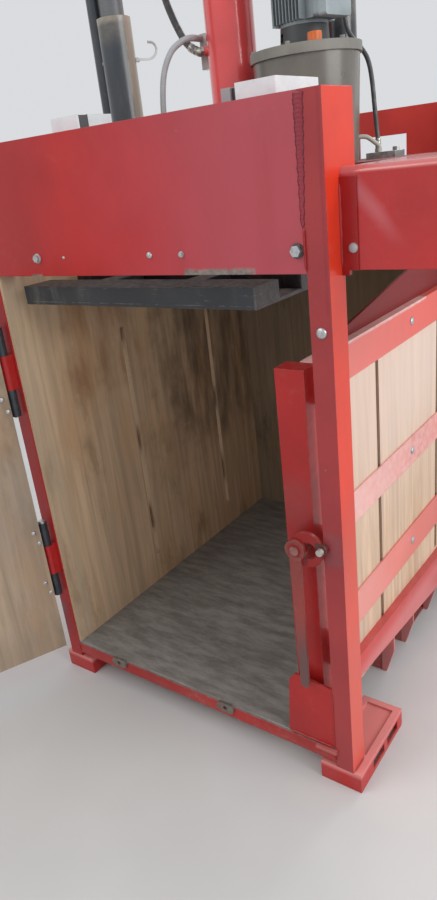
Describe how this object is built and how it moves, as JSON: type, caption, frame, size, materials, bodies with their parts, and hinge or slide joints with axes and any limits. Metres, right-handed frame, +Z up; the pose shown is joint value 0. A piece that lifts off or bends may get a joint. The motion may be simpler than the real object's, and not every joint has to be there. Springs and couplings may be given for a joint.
{
  "type": "recycling baler",
  "caption": "Vertical hydraulic baler: portal frame, boarded pressing chamber with floor, swung-open board door, claw latch, ram-driven platen on guides and a top-mounted power unit",
  "frame": {"origin": "on the floor at the middle of the portal frame, on the underside of the sheet that ties the two truck channels", "axes": "+X to the machine's right seen from the front, +Y to the back, +Z up; the front plane of the posts is at y = -0.660"},
  "size_m": [1.7681, 2.158, 2.853],
  "materials": {
    "front_left_post": "glossy red enamel, chipped and dusty",
    "front_right_post": "glossy red enamel with glare, worn edges",
    "rear_left_post": "glossy red enamel, chipped and dusty",
    "rear_right_post": "glossy red enamel with glare, worn edges",
    "front_header": "glossy red enamel, chipped and dusty",
    "rear_header": "glossy red enamel, chipped and dusty",
    "front_sill": "glossy red enamel, chipped and dusty",
    "rear_sill": "glossy red enamel, chipped and dusty",
    "feet": "glossy red enamel, chipped and dusty",
    "left_base_rail": "glossy red enamel, chipped and dusty",
    "right_base_rail": "glossy red enamel with glare, worn edges",
    "fork_channels": "glossy red enamel, chipped and dusty",
    "floor_plate": "bare worn steel, grey-brown",
    "sill_lugs": "bare rusty steel",
    "right_wall": "grey-brown birch plywood, scuffed",
    "left_wall": "grey-brown birch plywood, scuffed",
    "back_wall": "grey-brown birch plywood, scuffed",
    "right_wall_rails": "glossy red enamel with glare, worn edges",
    "left_wall_rails": "glossy red enamel, chipped and dusty",
    "back_wall_rails": "glossy red enamel, chipped and dusty",
    "frame_bolts": "zinc plated",
    "side_gusset": "glossy red enamel, chipped and dusty",
    "jamb_channel": "glossy red enamel with glare, worn edges",
    "jamb_gusset": "glossy red enamel, chipped and dusty",
    "wall_stays": "glossy red enamel, chipped and dusty",
    "top_left_beam": "glossy red enamel, chipped and dusty",
    "top_right_beam": "glossy red enamel with glare, worn edges",
    "bridge_channels": "glossy red enamel, chipped and dusty",
    "bridge_plate": "glossy red enamel, chipped and dusty",
    "cylinder_barrel": "high gloss red enamel",
    "cylinder_gland": "bare worn steel, grey-brown",
    "piston_rod": "hard chrome",
    "rod_flange": "charcoal paint",
    "platen_beams": "charcoal paint, dusty and scuffed",
    "platen_plate": "charcoal paint, scuffed",
    "guide_sleeves": "black paint, half gloss",
    "guide_tubes": "dull grey steel tube",
    "side_pipe": "black paint, half gloss",
    "oil_tank": "beige grey paint, dusty",
    "tank_lid": "light grey paint, dusty",
    "filler_cap": "orange plastic",
    "pump_bell": "dark grey casting",
    "electric_motor": "blue-grey paint",
    "terminal_box": "blue-grey paint",
    "valve_block": "dull aluminium",
    "pressure_hose": "black rubber",
    "return_hose": "black rubber",
    "cable_conduit": "grey corrugated plastic",
    "suction_hose": "black rubber",
    "junction_boxes": "white plastic, slightly glossy",
    "side_cabinet": "glossy red enamel, bright rounded edge",
    "cabinet_bracket": "dark red paint",
    "door_panel": "grey-brown birch plywood, scuffed",
    "door_frame": "red rails and black hinge knuckles",
    "frame_knuckles": "glossy red enamel, chipped and dusty",
    "hinge_pins": "zinc plated",
    "door_bolts": "zinc plated",
    "latch_pivot": "zinc plated",
    "latch_claw": "worn red paint",
    "latch_lever": "brown-grey worn paint"
  },
  "bodies": {
    "frame": {"front_left_post": "front_left_post", "front_right_post": "front_right_post", "rear_left_post": "rear_left_post", "rear_right_post": "rear_right_post", "front_header": "front_header", "rear_header": "rear_header", "front_sill": "front_sill", "rear_sill": "rear_sill", "feet": "feet", "left_base_rail": "left_base_rail", "right_base_rail": "right_base_rail", "fork_channels": "fork_channels", "floor_plate": "floor_plate", "sill_lugs": "sill_lugs", "right_wall": "right_wall", "left_wall": "left_wall", "back_wall": "back_wall", "right_wall_rails": "right_wall_rails", "left_wall_rails": "left_wall_rails", "back_wall_rails": "back_wall_rails", "frame_bolts": "frame_bolts", "side_gusset": "side_gusset", "jamb_channel": "jamb_channel", "jamb_gusset": "jamb_gusset", "wall_stays": "wall_stays", "top_left_beam": "top_left_beam", "top_right_beam": "top_right_beam", "bridge_channels": "bridge_channels", "bridge_plate": "bridge_plate", "cylinder_barrel": "cylinder_barrel", "cylinder_gland": "cylinder_gland", "guide_sleeves": "guide_sleeves", "side_pipe": "side_pipe", "oil_tank": "oil_tank", "tank_lid": "tank_lid", "pump_bell": "pump_bell", "electric_motor": "electric_motor", "terminal_box": "terminal_box", "valve_block": "valve_block", "pressure_hose": "pressure_hose", "return_hose": "return_hose", "cable_conduit": "cable_conduit", "suction_hose": "suction_hose", "junction_boxes": "junction_boxes", "side_cabinet": "side_cabinet", "cabinet_bracket": "cabinet_bracket", "frame_knuckles": "frame_knuckles", "latch_pivot": "latch_pivot"},
    "platen": {"piston_rod": "piston_rod", "rod_flange": "rod_flange", "platen_beams": "platen_beams", "platen_plate": "platen_plate", "guide_tubes": "guide_tubes"},
    "door": {"door_panel": "door_panel", "door_frame": "door_frame", "hinge_pins": "hinge_pins", "door_bolts": "door_bolts"},
    "latch": {"latch_claw": "latch_claw", "latch_lever": "latch_lever"},
    "cap": {"filler_cap": "filler_cap"}
  },
  "joints": [
    {"name": "platen_slide", "type": "slide", "parent": "frame", "child": "platen", "axis": [0, 0, 1], "range_m": [-0.85, 0]},
    {"name": "door_hinge", "type": "hinge", "parent": "frame", "child": "door", "pos_m": [-0.518, -0.682, 0.72], "axis": [0, 0, 1], "range_deg": [-60, 115]},
    {"name": "latch_turn", "type": "hinge", "parent": "frame", "child": "latch", "pos_m": [0.427, -0.673, 0.735], "axis": [0, -1, 0], "range_deg": [0, 80]},
    {"name": "filler_cap_turn", "type": "hinge", "parent": "frame", "child": "cap", "pos_m": [0.27385, -0.15239, 1.875], "axis": [0, 0, 1], "range_deg": [0, 90]}
  ]
}
